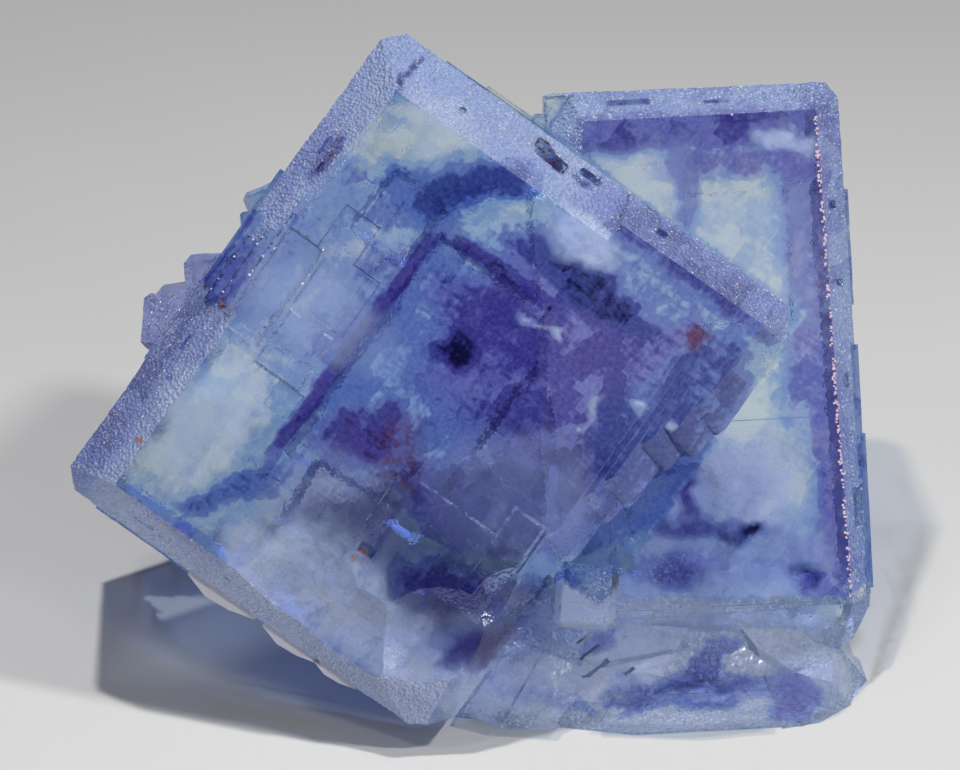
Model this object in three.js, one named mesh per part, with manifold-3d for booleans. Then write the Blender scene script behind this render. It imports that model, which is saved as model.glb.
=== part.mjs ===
// Fluorite specimen: cube-shaped crystals grown into each other, on a flat cut base.
// Millimetres, +Z up. The origin is the centre of the base of the bounding box.
import * as THREE from "three";
import { ConvexGeometry } from "three/addons/geometries/ConvexGeometry.js";
import { mergeVertices } from "three/addons/utils/BufferGeometryUtils.js";
import Module from "manifold-3d";

const wasm = await Module();
wasm.setup();

// Stance: the crystals are described in the frame of their large faces,
// x to the right, y up the face and z out of it, which then leans back.
const FACE_LOOKS_UP = 30; // degrees
const FRAME_HEIGHT = 21.9; // the frame's centre above the cut base

// Main crystal: its own x runs along the upper right edge, its y along the upper left edge.
const MAIN_CENTRE = [-3.3, -0.2];
const MAIN_SPIN = -35.2;
const MAIN_LEFT = -15.5;
const MAIN_RIGHT = 13.3;
const MAIN_TOP = 17.3;
const MAIN_BOTTOM = -18.0;
const MAIN_DEPTH = 18.7;
const MAIN_BEVEL = 2.6; // how far the bevels reach behind the face
const MAIN_INSET = { left: 3.1, top: 3.3, right: 2.0, bottom: 1.9 };
const CORNER_CUT = 1.1;
const BROKEN_CORNER = [6.5, 6.4]; // how far the break takes the face back from its lower right corner

// Growth steps down the lower right side: how far right each layer reaches and where it ends.
const GROWTH_LAYERS = [
  { right: 16.8, foot: 7.6 },
  { right: 16.3, foot: 5.6 },
  { right: 15.4, foot: 3.9 },
  { right: 14.8, foot: 0.6 },
  { right: 14.3, foot: -0.9 },
  { right: 13.8, foot: -4.2 },
];
const GROWTH_LAYER_STEP = 0.13; // each layer's face lies this much below the one inside it
const GROWTH_LAYER_LEFT = 3.4;

// Second crystal, upright, behind the right half of the main one.
const SECOND_CENTRE = [14.7, 2.5];
const SECOND_SPIN = 3;
const SECOND_FRONT = -7.5;
const SECOND_LEFT = -11;
const SECOND_RIGHT = 9.1;
const SECOND_TOP = 16.6;
const SECOND_BOTTOM = -19.6;
const SECOND_DEPTH = 15;
const SECOND_BEVEL = 1.9;

// Fine relief on the faces.
const LEDGE_SLOPE = 0.3; // width of the sloping edge of a ledge or terrace
const LEDGE_HEIGHT = 0.18;
const TERRACE_DEPTH = 0.32;
const STAIR_WIDTH = 0.75;
const STAIR_DROP = 0.62;

// Lowest part: the cleaved mass between the crystals and the base.
const MASS_RIM = 0.8;
const MASS_STEP = 0.35;

const radians = THREE.MathUtils.degToRad;

// The frame of the large faces, as it stands over the base.
const faceFrame = new THREE.Matrix4()
  .makeRotationX(radians(90 - FACE_LOOKS_UP))
  .setPosition(0, 0, FRAME_HEIGHT);

// Where a crystal sits: its centre, then its spin about the face's normal,
// its tip about x and its turn about y, in degrees.
function place({ at, spin = 0, tip = 0, turn = 0, within = faceFrame }) {
  const [x, y, z = 0] = at;
  const turned = new THREE.Matrix4().makeRotationFromEuler(
    new THREE.Euler(radians(tip), radians(turn), radians(spin), "ZXY"),
  );
  return within.clone().multiply(turned.setPosition(x, y, z));
}

const mainFrame = place({ at: MAIN_CENTRE, spin: MAIN_SPIN });
const secondFrame = place({ at: [...SECOND_CENTRE, SECOND_FRONT], spin: SECOND_SPIN });

function solidOf(geometry, matrix) {
  const bare = geometry.clone();
  bare.deleteAttribute("normal");
  bare.deleteAttribute("uv");
  bare.applyMatrix4(matrix);
  const merged = mergeVertices(bare, 1e-4);
  return new wasm.Manifold(
    new wasm.Mesh({
      numProp: 3,
      vertProperties: new Float32Array(merged.attributes.position.array),
      triVerts: new Uint32Array(merged.index.array),
    }),
  );
}

function hull(points, matrix = new THREE.Matrix4()) {
  const corners = points.map(([x, y, z]) => new THREE.Vector3(x, y, z));
  return solidOf(new ConvexGeometry(corners), matrix);
}

// A flat-faced crystal: its face, and its outline where the bevels end, front and back.
function tablet({ face, outline, front = 0, depth, bevel }, matrix) {
  const back = front - depth;
  const points = [
    ...face.map(([x, y]) => [x, y, front]),
    ...outline.map(([x, y]) => [x, y, front - bevel]),
    ...outline.map(([x, y]) => [x, y, back + bevel]),
    ...face.map(([x, y]) => [x, y, back]),
  ];
  return hull(points, matrix);
}

// A cube or block with bevelled edges, about its own centre.
function block([width, height, depth], bevel, matrix) {
  const [a, b, c] = [width / 2, height / 2, depth / 2];
  const points = [];
  for (const x of [-1, 1])
    for (const y of [-1, 1])
      for (const z of [-1, 1]) {
        points.push([x * a, y * (b - bevel), z * (c - bevel)]);
        points.push([x * (a - bevel), y * b, z * (c - bevel)]);
        points.push([x * (a - bevel), y * (b - bevel), z * c]);
      }
  return hull(points, matrix);
}

// A straight box between two corners, for steps and cuts.
function box([x0, y0, z0], [x1, y1, z1], matrix) {
  const geometry = new THREE.BoxGeometry(x1 - x0, y1 - y0, z1 - z0);
  geometry.translate((x0 + x1) / 2, (y0 + y1) / 2, (z0 + z1) / 2);
  return solidOf(geometry, matrix);
}

// A rectangle of face with sloping sides, from its floor up to its rim.
function slopedPatch([x0, y0, x1, y1], [floor, rim], flare, matrix) {
  const corners = (grow, z) => [
    [x0 - grow, y0 - grow, z],
    [x1 + grow, y0 - grow, z],
    [x1 + grow, y1 + grow, z],
    [x0 - grow, y1 + grow, z],
  ];
  return hull([...corners(0, floor), ...corners(flare, rim)], matrix);
}

const join = (solids) => solids.reduce((whole, next) => whole.add(next));
const cut = (whole, solids) => solids.reduce((rest, next) => rest.subtract(next), whole);

// Main crystal
function mainBody() {
  const inset = MAIN_INSET;
  return tablet(
    {
      face: [
        [MAIN_LEFT + inset.left, MAIN_BOTTOM + inset.bottom],
        [MAIN_RIGHT - BROKEN_CORNER[0], MAIN_BOTTOM + inset.bottom],
        [MAIN_RIGHT - inset.right, MAIN_BOTTOM + BROKEN_CORNER[1]],
        [MAIN_RIGHT - inset.right, MAIN_TOP - inset.top],
        [MAIN_LEFT + inset.left + 0.2, MAIN_TOP - inset.top],
      ],
      outline: [
        [MAIN_LEFT, MAIN_BOTTOM + CORNER_CUT],
        [MAIN_LEFT + CORNER_CUT, MAIN_BOTTOM],
        [MAIN_RIGHT - 2.2, MAIN_BOTTOM + 0.1],
        [MAIN_RIGHT - 1.2, MAIN_BOTTOM + 0.7],
        [MAIN_RIGHT, MAIN_BOTTOM + 2.1],
        [MAIN_RIGHT, MAIN_TOP],
        [MAIN_LEFT + 0.5 + CORNER_CUT, MAIN_TOP + 0.1],
        [MAIN_LEFT + 0.5, MAIN_TOP - CORNER_CUT],
      ],
      depth: MAIN_DEPTH,
      bevel: MAIN_BEVEL,
    },
    mainFrame,
  );
}

// Layers that each stop short of the one before, like stairs down the lower right side.
function growthLayer({ right, foot }, index) {
  const shoulder = MAIN_TOP - 2.0;
  const fromInside = GROWTH_LAYERS.length - index;
  return tablet(
    {
      face: [
        [GROWTH_LAYER_LEFT + 0.6, foot + 0.9],
        [right - 2.5, foot + 0.9],
        [right - 2.1, foot + 1.6],
        [right - 2.1, shoulder],
        [GROWTH_LAYER_LEFT + 0.6, shoulder],
      ],
      outline: [
        [GROWTH_LAYER_LEFT, foot],
        [right - 0.9, foot],
        [right - 0.2, foot + 0.5],
        [right, foot + 1.2],
        [right, MAIN_TOP - 2.2],
        [right - 0.5, MAIN_TOP - 1.1],
        [right - 1.4, MAIN_TOP],
        [GROWTH_LAYER_LEFT, MAIN_TOP + 0.05],
      ],
      front: GROWTH_LAYER_STEP * (1 - fromInside),
      depth: MAIN_DEPTH - 1.1 * fromInside,
      bevel: 2.2,
    },
    mainFrame,
  );
}

// Stairs in place of the upper left bevel, halfway down that edge.
function bevelStairs() {
  const stairs = [];
  const spans = [
    [-3.4, 4.2],
    [-3.1, 2.6],
    [-3.4, 1.4],
    [-2.6, 2.9],
  ];
  spans.forEach(([low, high], i) => {
    const outer = MAIN_LEFT + MAIN_INSET.left - STAIR_WIDTH * (i + 1);
    const top = -STAIR_DROP * i - 0.05;
    stairs.push(box([outer, low, top - 3], [MAIN_LEFT + 6, high, top], mainFrame));
  });
  return stairs;
}

// Growth layers that lie a little proud of the face, with sloping edges.
function ledges() {
  const layers = [
    { area: [1.8, -15.4, 11.0, -5.1], height: LEDGE_HEIGHT },
    { area: [8.9, -12.6, 10.9, -3.0], height: LEDGE_HEIGHT + 0.04 },
    { area: [-9.6, -4.7, -6.6, -1.0], height: LEDGE_HEIGHT },
  ];
  return layers.map(({ area, height }) =>
    slopedPatch(area, [height, -0.4], LEDGE_SLOPE * 2, mainFrame),
  );
}

// Shallow rectangular terraces sunk into the face.
function terraces() {
  const sunk = [
    { area: [-12.6, -3.9, -10.3, 3.2], depth: TERRACE_DEPTH + 0.1 },
    { area: [-10.6, 3.0, -8.2, 6.4], depth: TERRACE_DEPTH - 0.1 },
    { area: [-9.8, -0.4, -6.2, 3.6], depth: TERRACE_DEPTH - 0.14 },
    { area: [-7.7, -6.6, -6.0, -4.9], depth: TERRACE_DEPTH - 0.18 },
    { area: [2.2, -10.7, 3.3, -10.2], depth: TERRACE_DEPTH },
  ];
  return sunk.map(({ area, depth }) =>
    slopedPatch(area, [-depth, 0.4], LEDGE_SLOPE, mainFrame),
  );
}

// Shell-shaped chips along the broken bottom corner: a large ball that grazes the face.
function chips() {
  const grazes = [
    { at: [5.0, -17.2, 9.4], radius: 10.4 },
    { at: [10.4, -13.6, 7.6], radius: 8.8 },
    { at: [0.6, -15.6, 11.6], radius: 12.2 },
    { at: [13.2, -8.6, 5.8], radius: 6.6 },
  ];
  return grazes.map(({ at, radius }) =>
    solidOf(new THREE.SphereGeometry(radius, 72, 48), place({ at, within: mainFrame })),
  );
}

// Small hollows in the bevels, left where growth stopped.
function bevelPits() {
  const pits = [
    { size: [2.3, 0.8, 1.6], at: [-1.9, 16.2, -2.0], spin: -6 },
    { size: [0.9, 0.7, 1.4], at: [-2.9, 16.6, -2.2], spin: 4 },
    { size: [1.5, 0.5, 1.2], at: [0.7, 16.7, -2.3] },
    { size: [0.8, 1.5, 0.7], at: [-14.2, 8.7, -1.35] },
    { size: [0.5, 0.9, 0.6], at: [-13.5, 7.4, -0.85] },
    { size: [0.4, 0.8, 0.6], at: [-14.6, 7.0, -1.8] },
    { size: [0.5, 0.5, 0.6], at: [-13.4, 9.6, -0.7] },
    { size: [0.4, 1.2, 0.5], at: [-14.0, -6.4, -1.3] },
    { size: [0.6, 0.5, 0.5], at: [-13.6, -8.8, -0.9] },
    { size: [0.8, 0.5, 0.8], at: [6.4, 16.3, -1.2] },
    { size: [0.5, 0.5, 0.6], at: [-8.2, 15.4, -1.3] },
    { size: [1.6, 0.4, 0.6], at: [-9.6, -17.2, -1.2] },
    { size: [0.9, 0.4, 0.6], at: [-3.2, -17.0, -0.9] },
  ];
  return pits.map(({ size, at, spin }) =>
    block(size, 0.12, place({ at, spin, within: mainFrame })),
  );
}

// Low growth plates on the side walls, kept behind the outline of the face.
function sidePlates() {
  const plates = [
    { from: [-10, MAIN_BOTTOM - 0.3, -14.5], to: [6, MAIN_BOTTOM + 2, -7.5] },
    { from: [-13, MAIN_BOTTOM - 0.55, -12.5], to: [-2, MAIN_BOTTOM + 2, -9] },
    { from: [MAIN_LEFT - 0.3, -13, -15.5], to: [MAIN_LEFT + 2, 6, -8] },
    { from: [MAIN_LEFT - 0.6, -9, -14], to: [MAIN_LEFT + 2, -1, -10] },
    { from: [-11, MAIN_TOP - 2, -15], to: [3, MAIN_TOP + 0.4, -6.5] },
    { from: [-8, MAIN_TOP - 2, -12.5], to: [-1, MAIN_TOP + 0.7, -8] },
  ];
  return plates.map(({ from, to }) => box(from, to, mainFrame));
}

// Growth plates on the back of a crystal, in line with its edges.
const MAIN_BACK_PLATES = [
  { area: [-4.8, -8.4, 4.6, 8.2], rise: 0.9, slope: 0.6 },
  { area: [-10.8, -3.4, -7.4, 5.6], rise: 0.3, slope: 0.1 },
  { area: [6.2, -2.0, 10.4, 9.4], rise: 0.4, slope: 0.12 },
  { area: [-9.6, -13.8, -2.2, -10.6], rise: 0.3, slope: 0.1 },
];
const SECOND_BACK_PLATES = [
  { area: [-6.9, 8.1, -1.8, 12.2], rise: 0.4, slope: 0.12 },
  { area: [-0.6, 1.5, 6.0, 10.0], rise: 0.5, slope: 0.16 },
  { area: [1.6, -14.8, 5.4, -8.2], rise: 0.3, slope: 0.1 },
];
const PLATE_ROOT = 0.2; // how deep the plates reach into the crystal

function backPlates(plates, depth, matrix) {
  return plates.map(({ area, rise, slope }) =>
    slopedPatch(area, [-depth - rise, PLATE_ROOT - depth], slope, matrix),
  );
}

function mainCrystal() {
  const grown = join([
    mainBody(),
    ...GROWTH_LAYERS.map(growthLayer),
    ...bevelStairs(),
    ...ledges(),
    ...sidePlates(),
    ...backPlates(MAIN_BACK_PLATES, MAIN_DEPTH, mainFrame),
  ]);
  return cut(grown, [...terraces(), ...chips(), ...bevelPits()]);
}

// Second crystal
function secondBody() {
  return tablet(
    {
      face: [
        [SECOND_LEFT + 1.5, SECOND_BOTTOM + 2.5],
        [SECOND_RIGHT - 0.9, SECOND_BOTTOM + 2.7],
        [SECOND_RIGHT - 1.6, SECOND_TOP - 1.9],
        [SECOND_LEFT + 3.6, SECOND_TOP - 1.9],
      ],
      outline: [
        [SECOND_LEFT, SECOND_BOTTOM + 1.2],
        [SECOND_LEFT + 1, SECOND_BOTTOM + 0.2],
        [SECOND_RIGHT - 1.7, SECOND_BOTTOM - 0.2],
        [SECOND_RIGHT - 0.9, SECOND_BOTTOM + 0.4],
        [SECOND_RIGHT + 0.3, SECOND_BOTTOM + 2.4],
        [SECOND_RIGHT + 0.4, SECOND_BOTTOM + 3.2],
        [SECOND_RIGHT, SECOND_TOP - 1.2],
        [SECOND_RIGHT - 0.8, SECOND_TOP - 0.1],
        [SECOND_LEFT + 2.8, SECOND_TOP + 0.1],
        [SECOND_LEFT, SECOND_TOP - 4],
      ],
      depth: SECOND_DEPTH,
      bevel: SECOND_BEVEL,
    },
    secondFrame,
  );
}

// Narrow growth plates that step out along the right side of the second crystal.
function secondSideSteps() {
  const steps = [
    { bottom: -16.4, top: -0.4, out: 0.3, front: -1.5, back: -12 },
    { bottom: -16.0, top: -6.1, out: 0.5, front: -1.7, back: -9.5 },
    { bottom: 2.2, top: 9.6, out: 0.22, front: -2.1, back: -12.8 },
  ];
  return steps.map(({ bottom, top, out, front, back }) =>
    box([SECOND_RIGHT - 2, bottom, back], [SECOND_RIGHT + 0.1 + out, top, front], secondFrame),
  );
}

// Small stepped blocks at the upper left corner of the second crystal.
function secondCornerBlocks() {
  const blocks = [
    { size: [2.2, 3.6, 5.0], at: [-8.7, 14.9, -4.1] },
    { size: [1.6, 2.4, 4.0], at: [-9.8, 14.3, -4.4] },
    { size: [1.5, 1.3, 3.4], at: [-10.5, 13.4, -3.6] },
    { size: [1.3, 0.9, 2.6], at: [-7.2, 16.3, -4.6] },
  ];
  return blocks.map(({ size, at }) => block(size, 0.18, place({ at, within: secondFrame })));
}

// The lower half of the second crystal's face stands a little proud of the upper half.
function secondFaceLayer() {
  const area = [-7.0, SECOND_BOTTOM + 3.0, SECOND_RIGHT - 1.9, -4.9];
  return slopedPatch(area, [0.08, -0.4], LEDGE_SLOPE, secondFrame);
}

function secondPits() {
  const pits = [
    { size: [0.9, 0.5, 0.8], at: [8.3, 3.6, -1.0] },
    { size: [0.5, 1.0, 0.7], at: [8.5, -2.6, -1.1] },
    { size: [0.6, 0.6, 0.7], at: [8.2, 8.6, -0.9] },
    { size: [0.7, 2.6, 0.8], at: [8.9, -10.8, -1.2] },
    { size: [2.8, 0.45, 0.7], at: [-4.4, 15.8, -1.0] },
    { size: [1.6, 0.4, 0.6], at: [1.2, 15.6, -0.7] },
  ];
  return pits.map(({ size, at }) => block(size, 0.1, place({ at, within: secondFrame })));
}

function secondCrystal() {
  const grown = join([
    secondBody(),
    ...secondSideSteps(),
    ...secondCornerBlocks(),
    secondFaceLayer(),
    ...backPlates(SECOND_BACK_PLATES, SECOND_DEPTH, secondFrame),
  ]);
  return cut(grown, secondPits());
}

// Smaller crystals, in the frame of the large faces: behind the left edge, at the junction
// of the two large crystals, and over the back.
const SMALL_CRYSTALS = [
  { size: [4.6, 4.7, 5.6], at: [-16.7, 6.0, -14.2], spin: 5, tip: -6 },
  { size: [4.2, 4.3, 4.6], at: [-18.7, 4.6, -14.8], spin: 9, tip: 5 },
  { size: [3.6, 3.6, 3.8], at: [-20.1, 4.0, -14.2], spin: -4, tip: -3 },
  { size: [3.4, 3.2, 4.0], at: [-19.8, 1.4, -15.8], spin: 14, tip: 12 },
  { size: [2.4, 2.4, 3.0], at: [-13.9, 11.7, -14.0], spin: 20, turn: 8 },
  { size: [1.7, 1.9, 2.2], at: [-14.6, 10.4, -12.8], spin: 8 },
  { size: [3.9, 4.1, 4.4], at: [6.7, -13.5, -6.9], spin: -5, tip: -4 },
  { size: [6.2, 5.4, 5.0], at: [-9.4, -8.6, -17.8], spin: -31, tip: 4 },
  { size: [4.6, 5.2, 4.4], at: [-5.2, 10.8, -17.4], spin: -38, turn: 5 },
  { size: [6.4, 7.2, 5.0], at: [13.0, -9.2, -21.4], spin: 12, tip: 7 },
  { size: [4.2, 3.8, 4.0], at: [18.6, -12.0, -21.2], spin: -9, turn: 8 },
  { size: [4.4, 3.6, 4.2], at: [5.4, 14.4, -20.6], spin: 8, tip: -5 },
  { size: [3.4, 3.0, 3.6], at: [20.6, 14.6, -20.8], spin: 5, turn: 6 },
  { size: [5.0, 4.4, 4.0], at: [4.2, -12.4, -19.4], spin: 24, tip: 9 },
  { size: [3.0, 3.2, 3.4], at: [-17.0, -4.4, -16.4], spin: -30, tip: 5 },
];
const SMALL_BEVEL_SHARE = 0.11;

function smallCrystal({ size, ...where }) {
  return block(size, SMALL_BEVEL_SHARE * Math.min(...size), place(where));
}

// Cleaved lower mass, in the upright frame: its slope faces up and to the front,
// in thin sheets that end one behind the other.
function cleavedMass() {
  const sheets = [];
  for (let i = 0; i < 4; i++) {
    const back = MASS_STEP * i * 1.4;
    const left = -2.4 + 2.1 * i;
    sheets.push(
      hull([
        [left, -4.2 + back, 0],
        [9.8, -6.4 + back, 0],
        [20.6, -5.4 + back, 0],
        [left, -4.1 + back, MASS_RIM],
        [9.8, -6.2 + back, MASS_RIM + MASS_STEP * i],
        [20.6, -5.2 + back, MASS_RIM + MASS_STEP * i],
        [left + 1.2, -2.6 + back, 3.2],
        [4.6, -1.0 + back, 4.2 + 0.1 * i],
        [10.9, -0.4 + back, 3.8 + 0.1 * i],
        [17.6, -0.4 + back, 4.2 + 0.1 * i],
        [left - 4, 13.5, 0],
        [21, 12.5, 0],
        [0, 10, 5],
        [20, 9, 5],
      ]),
    );
  }
  return sheets;
}

// Flakes of different slant on that slope, each given by the corners of its upper face.
const FLAKE_FACES = [
  [[-1.1, -5.7, 1.3], [2.3, -1.8, 4.2], [4.0, -2.7, 3.9], [1.1, -6.7, 0.7]],
  [[1.3, -6.7, 0.7], [4.1, -2.6, 3.9], [5.9, -3.1, 3.2], [4.8, -7.0, 0.8]],
  [[4.9, -1.0, 4.3], [8.0, -0.9, 5.0], [13.4, -1.1, 4.6], [12.5, -2.2, 3.8], [7.1, -3.0, 3.1]],
  [[5.4, -5.2, 1.9], [7.6, -3.6, 3.2], [13.4, -2.2, 3.7], [14.2, -3.2, 3.3], [9.8, -5.4, 1.6]],
  [[7.5, -6.6, 1.0], [10.1, -5.7, 1.9], [16.6, -4.7, 2.2], [18.5, -6.2, 1.0], [13.9, -7.0, 0.8]],
  [[13.2, -4.2, 2.4], [16.8, -2.2, 4.0], [18.5, -3.7, 3.3], [17.0, -4.6, 2.2]],
  [[2.5, -5.1, 1.8], [5.5, -3.7, 3.0], [7.4, -4.2, 2.7], [5.1, -6.2, 1.3]],
  [[10.2, -3.8, 3.1], [14.0, -2.3, 3.6], [16.5, -2.7, 3.6], [13.3, -4.5, 2.7]],
];
const FLAKE_ROOT = [0.3, 3.4, -1.6]; // from its upper face to its foot inside the mass

function cleavageFlakes() {
  const [dx, dy, dz] = FLAKE_ROOT;
  return FLAKE_FACES.map((face) =>
    hull([...face, ...face.map(([x, y, z]) => [x + dx, y + dy, z + dz])]),
  );
}

// Narrow slits that open along the cleavage of the lower mass.
function cleavageSlits() {
  const slits = [
    { size: [1.1, 0.16, 2.4], at: [6.6, -16.2, -7.6], spin: 42 },
    { size: [1.7, 0.2, 2.4], at: [7.0, -17.0, -7.2], spin: 38 },
    { size: [2.0, 0.3, 2.4], at: [7.4, -18.1, -6.8], spin: 44 },
    { size: [0.8, 0.25, 2.0], at: [9.6, -18.3, -6.6], spin: 40 },
  ];
  return slits.map(({ size, at, spin }) =>
    block(size, 0.05, place({ at, spin, tip: -24 })),
  );
}

// Corner crystal at the lower right: a frosted facet on top of three steep ones.
function cornerCrystal() {
  return join([
    hull([
      [16.2, 0.4, 4.5],
      [19.6, 0.5, 4.6],
      [17.6, -2.3, 3.95],
      [20.0, -3.9, 3.1],
      [22.4, -4.0, 2.4],
      [22.5, -2.3, 2.95],
      [23.3, 0.1, 1.9],
      [21.6, -5.0, 0],
      [19.2, -5.7, 0],
      [23.7, -3.0, 0],
      [24.6, 0.2, 0],
      [16, 5, 0],
      [24, 5, 0],
      [17, 4, 4],
    ]),
    hull([
      [21.4, -1.2, 0],
      [23.9, -2.4, 0.2],
      [24.9, -0.6, 0.3],
      [23.2, 0.3, 2.2],
      [21.8, 0.5, 2.3],
      [22, 3, 0],
      [24.6, 2.4, 0],
    ]),
  ]);
}

// Crumbs along the seam between the main crystal and the lower mass.
function seamCrumbs() {
  const crumbs = [
    { size: [0.9, 0.8, 0.9], at: [4.1, -12.3, -2.5], spin: 20, tip: 12 },
    { size: [0.7, 0.9, 0.8], at: [3.5, -13.1, -2.6], spin: -14, tip: 8 },
    { size: [1.0, 0.7, 0.8], at: [2.9, -13.9, -2.5], spin: 33, tip: 20 },
    { size: [0.8, 0.8, 0.8], at: [2.5, -14.9, -2.7], spin: 5, tip: 30 },
    { size: [0.6, 0.7, 0.7], at: [1.9, -15.6, -2.6], spin: 40, tip: 10 },
    { size: [0.7, 0.6, 0.6], at: [1.5, -16.5, -2.7], spin: -25, tip: 16 },
  ];
  return crumbs.map(({ size, ...where }) => block(size, 0.14, place(where)));
}

// The whole cluster stands on one flat cut.
const CUT_REACH = 80;
const CUT_DEEP = 40;

function cluster() {
  const grown = join([
    mainCrystal(),
    secondCrystal(),
    ...SMALL_CRYSTALS.map(smallCrystal),
    ...cleavedMass(),
    ...cleavageFlakes(),
    cornerCrystal(),
    ...seamCrumbs(),
  ]);
  const upright = new THREE.Matrix4();
  const below = box([-CUT_REACH, -CUT_REACH, -CUT_DEEP], [CUT_REACH, CUT_REACH, 0], upright);
  return cut(grown, [...cleavageSlits(), below]);
}

function geometryOf(solid) {
  const { numProp, numVert, vertProperties, triVerts } = solid.getMesh();
  const position = new Float32Array(numVert * 3);
  for (let i = 0; i < numVert; i++)
    position.set(vertProperties.subarray(i * numProp, i * numProp + 3), i * 3);
  const geometry = new THREE.BufferGeometry()
    .setAttribute("position", new THREE.BufferAttribute(position, 3))
    .setIndex(new THREE.BufferAttribute(triVerts, 1));
  geometry.computeVertexNormals();
  return geometry;
}

const clearFluorite = new THREE.MeshStandardMaterial({
  color: "#8d9fcb",
  roughness: 0.15,
  metalness: 0,
  transparent: true,
  opacity: 0.55,
  side: THREE.DoubleSide,
});

const fluorite = new THREE.Mesh(geometryOf(cluster()), clearFluorite);
fluorite.name = "fluorite_cluster";

// Stand the cluster on the middle of its own base.
fluorite.geometry.computeBoundingBox();
const middle = fluorite.geometry.boundingBox.getCenter(new THREE.Vector3());
fluorite.position.set(-middle.x, -middle.y, 0);

const specimen = new THREE.Group();
specimen.add(fluorite);

export default specimen;
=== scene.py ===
"""Fluorite specimen: the clear crystals, the coloured growth zones inside them, and their light."""
import math
import random

import bmesh
import bpy
import numpy as np
from mathutils import Matrix, Vector, noise
from mathutils.bvhtree import BVHTree
from mathutils.geometry import delaunay_2d_cdt


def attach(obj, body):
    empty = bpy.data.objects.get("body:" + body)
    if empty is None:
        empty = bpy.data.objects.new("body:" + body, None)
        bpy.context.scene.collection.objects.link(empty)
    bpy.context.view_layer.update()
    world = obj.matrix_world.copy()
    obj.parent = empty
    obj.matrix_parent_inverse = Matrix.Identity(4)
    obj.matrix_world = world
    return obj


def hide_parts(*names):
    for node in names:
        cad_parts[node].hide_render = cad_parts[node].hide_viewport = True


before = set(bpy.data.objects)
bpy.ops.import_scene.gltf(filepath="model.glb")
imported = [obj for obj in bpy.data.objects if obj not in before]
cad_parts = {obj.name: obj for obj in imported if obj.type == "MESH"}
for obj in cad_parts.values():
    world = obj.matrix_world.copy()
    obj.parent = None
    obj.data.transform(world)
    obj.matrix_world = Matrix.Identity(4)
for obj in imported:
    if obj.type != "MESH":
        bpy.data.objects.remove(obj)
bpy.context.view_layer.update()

MM = 0.001
NODE = "fluorite_cluster"
BODY = "root"

# Stance: the crystals are described in millimetres in the frame of their large faces,
# x to the right, y up the face and z out of it, as in the part's source.
FACE_LEAN = 60
FACE_MIDDLE = (0.242, -9.850, 21.9)


def turned(at, axis_turns=()):
    made = Matrix.Translation(Vector(at) * MM)
    for axis, degrees in axis_turns:
        made = made @ Matrix.Rotation(math.radians(degrees), 4, axis)
    return made


face_frame = turned(FACE_MIDDLE, [("X", FACE_LEAN)])
main_frame = face_frame @ turned((-3.3, -0.2, 0), [("Z", -35.2)])
second_frame = face_frame @ turned((14.7, 2.5, -7.5), [("Z", 3)])

# The main crystal's face in its own frame, where its bevels start.
MAIN_FACE = {"left": -12.4, "right": 11.3, "bottom": -16.1, "top": 14.0}
MAIN_OUTLINE = {"left": -15.5, "right": 16.8, "bottom": -18.0, "top": 17.3}
BEVEL_DEPTH = 2.9
SECOND_BEVEL_DEPTH = 2.3


# Materials
def new_material(name):
    material = bpy.data.materials.new(name)
    material.use_nodes = True
    tree = material.node_tree
    tree.nodes.clear()
    return material, tree


def add(tree, kind, **settings):
    node = tree.nodes.new(kind)
    for key, value in settings.items():
        setattr(node, key, value)
    return node


def wire(tree, start, end):
    tree.links.new(start, end)


def crystal_coordinates(tree, matrix):
    """Millimetres in a crystal's own frame, from Object coordinates."""
    coordinates = add(tree, "ShaderNodeTexCoord")
    mapping = add(tree, "ShaderNodeMapping", vector_type="TEXTURE")
    mapping.inputs["Location"].default_value = matrix.to_translation()
    mapping.inputs["Rotation"].default_value = matrix.to_euler()
    mapping.inputs["Scale"].default_value = (MM, MM, MM)
    wire(tree, coordinates.outputs["Object"], mapping.inputs["Vector"])
    return mapping.outputs["Vector"]


def noise_of(tree, vector, scale, detail=2.0, roughness=0.5, distortion=0.0):
    node = add(tree, "ShaderNodeTexNoise")
    node.inputs["Scale"].default_value = scale
    node.inputs["Detail"].default_value = detail
    node.inputs["Roughness"].default_value = roughness
    node.inputs["Distortion"].default_value = distortion
    wire(tree, vector, node.inputs["Vector"])
    return node.outputs["Fac"]


def cells_of(tree, vector, scale, feature="F1", distance="EUCLIDEAN", output="Distance"):
    node = add(tree, "ShaderNodeTexVoronoi", feature=feature, distance=distance)
    node.inputs["Scale"].default_value = scale
    wire(tree, vector, node.inputs["Vector"])
    return node.outputs[output]


def calculate(tree, operation, a, b=None, clamp=False):
    node = add(tree, "ShaderNodeMath", operation=operation, use_clamp=clamp)
    for slot, value in enumerate((a, b)):
        if value is None:
            continue
        if isinstance(value, (int, float)):
            node.inputs[slot].default_value = value
        else:
            wire(tree, value, node.inputs[slot])
    return node.outputs["Value"]


def remap(tree, value, low, high, to_low=0.0, to_high=1.0):
    node = add(tree, "ShaderNodeMapRange")
    wire(tree, value, node.inputs["Value"])
    ends = {"From Min": low, "From Max": high, "To Min": to_low, "To Max": to_high}
    for name, number in ends.items():
        node.inputs[name].default_value = number
    return node.outputs["Result"]


def mix_colours(tree, share, a, b):
    node = add(tree, "ShaderNodeMix", data_type="RGBA")
    for slot, value in ((0, share), (6, a), (7, b)):
        if isinstance(value, (tuple, float)):
            node.inputs[slot].default_value = value
        else:
            wire(tree, value, node.inputs[slot])
    return node.outputs[2]


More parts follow.
